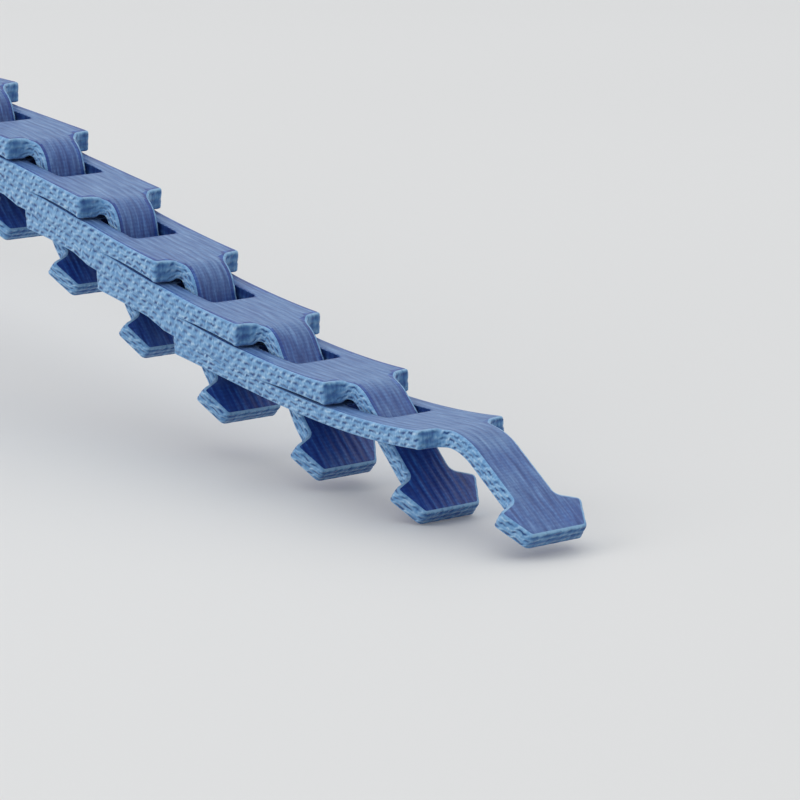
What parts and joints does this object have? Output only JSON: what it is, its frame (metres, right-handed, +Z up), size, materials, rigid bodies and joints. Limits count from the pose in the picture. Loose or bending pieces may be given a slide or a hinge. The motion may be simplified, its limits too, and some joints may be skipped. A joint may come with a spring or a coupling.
{
  "type": "wedge belt",
  "caption": "Linked wedge belt: overlapping elastomer links pinned to each other by bent cross-heads, lying as a low arch with one end free for joining",
  "frame": {"origin": "on the floor under the middle of the belt's box", "axes": "+X along the belt towards the free head, +Y across the belt, +Z up, away from the heads"},
  "size_m": [0.421, 0.013, 0.0465],
  "materials": {
    "link_elastomer": "matte"
  },
  "bodies": {
    "link_01": {"link_01": "link_elastomer"},
    "link_02": {"link_02": "link_elastomer"},
    "link_03": {"link_03": "link_elastomer"},
    "link_04": {"link_04": "link_elastomer"},
    "link_05": {"link_05": "link_elastomer"},
    "link_06": {"link_06": "link_elastomer"},
    "link_07": {"link_07": "link_elastomer"},
    "link_08": {"link_08": "link_elastomer"},
    "link_09": {"link_09": "link_elastomer"},
    "link_10": {"link_10": "link_elastomer"},
    "link_11": {"link_11": "link_elastomer"},
    "link_12": {"link_12": "link_elastomer"},
    "link_13": {"link_13": "link_elastomer"},
    "link_14": {"link_14": "link_elastomer"},
    "link_15": {"link_15": "link_elastomer"},
    "link_16": {"link_16": "link_elastomer"},
    "link_17": {"link_17": "link_elastomer"},
    "link_18": {"link_18": "link_elastomer"},
    "link_19": {"link_19": "link_elastomer"},
    "link_20": {"link_20": "link_elastomer"},
    "link_21": {"link_21": "link_elastomer"}
  },
  "joints": [
    {"name": "flex_01", "type": "hinge", "parent": "link_01", "child": "link_02", "pos_m": [0.16168, 0, 0.01232], "axis": [0, -1, 0], "range_deg": [-2.5, 2.5]},
    {"name": "flex_02", "type": "hinge", "parent": "link_02", "child": "link_03", "pos_m": [0.14408, 0, 0.01723], "axis": [0, -1, 0], "range_deg": [-2.5, 2.5]},
    {"name": "flex_03", "type": "hinge", "parent": "link_03", "child": "link_04", "pos_m": [0.12684, 0, 0.02285], "axis": [0, -1, 0], "range_deg": [-2.5, 2.5]},
    {"name": "flex_04", "type": "hinge", "parent": "link_04", "child": "link_05", "pos_m": [0.10986, 0, 0.02842], "axis": [0, -1, 0], "range_deg": [-2.5, 2.5]},
    {"name": "flex_05", "type": "hinge", "parent": "link_05", "child": "link_06", "pos_m": [0.09277, 0, 0.03324], "axis": [0, -1, 0], "range_deg": [-2.5, 2.5]},
    {"name": "flex_06", "type": "hinge", "parent": "link_06", "child": "link_07", "pos_m": [0.07547, 0, 0.0371], "axis": [0, -1, 0], "range_deg": [-2.5, 2.5]},
    {"name": "flex_07", "type": "hinge", "parent": "link_07", "child": "link_08", "pos_m": [0.058, 0, 0.03986], "axis": [0, -1, 0], "range_deg": [-2.5, 2.5]},
    {"name": "flex_08", "type": "hinge", "parent": "link_08", "child": "link_09", "pos_m": [0.0404, 0, 0.04145], "axis": [0, -1, 0], "range_deg": [-2.5, 2.5]},
    {"name": "flex_09", "type": "hinge", "parent": "link_09", "child": "link_10", "pos_m": [0.02275, 0, 0.04177], "axis": [0, -1, 0], "range_deg": [-2.5, 2.5]},
    {"name": "flex_10", "type": "hinge", "parent": "link_10", "child": "link_11", "pos_m": [0.00507, 0, 0.04091], "axis": [0, -1, 0], "range_deg": [-2.5, 2.5]},
    {"name": "flex_11", "type": "hinge", "parent": "link_11", "child": "link_12", "pos_m": [-0.01253, 0, 0.03895], "axis": [0, -1, 0], "range_deg": [-2.5, 2.5]},
    {"name": "flex_12", "type": "hinge", "parent": "link_12", "child": "link_13", "pos_m": [-0.03001, 0, 0.03596], "axis": [0, -1, 0], "range_deg": [-2.5, 2.5]},
    {"name": "flex_13", "type": "hinge", "parent": "link_13", "child": "link_14", "pos_m": [-0.04734, 0, 0.03204], "axis": [0, -1, 0], "range_deg": [-2.5, 2.5]},
    {"name": "flex_14", "type": "hinge", "parent": "link_14", "child": "link_15", "pos_m": [-0.06452, 0, 0.02733], "axis": [0, -1, 0], "range_deg": [-2.5, 2.5]},
    {"name": "flex_15", "type": "hinge", "parent": "link_15", "child": "link_16", "pos_m": [-0.08178, 0, 0.02219], "axis": [0, -1, 0], "range_deg": [-2.5, 2.5]},
    {"name": "flex_16", "type": "hinge", "parent": "link_16", "child": "link_17", "pos_m": [-0.09932, 0, 0.0174], "axis": [0, -1, 0], "range_deg": [-2.5, 2.5]},
    {"name": "flex_17", "type": "hinge", "parent": "link_17", "child": "link_18", "pos_m": [-0.1172, 0, 0.01351], "axis": [0, -1, 0], "range_deg": [-2.5, 2.5]},
    {"name": "flex_18", "type": "hinge", "parent": "link_18", "child": "link_19", "pos_m": [-0.13542, 0, 0.01097], "axis": [0, -1, 0], "range_deg": [-2.5, 2.5]},
    {"name": "flex_19", "type": "hinge", "parent": "link_19", "child": "link_20", "pos_m": [-0.15384, 0, 0.01009], "axis": [0, -1, 0], "range_deg": [-2.5, 2.5]},
    {"name": "flex_20", "type": "hinge", "parent": "link_20", "child": "link_21", "pos_m": [-0.17184, 0, 0.01009], "axis": [0, -1, 0], "range_deg": [-2.5, 2.5]}
  ]
}
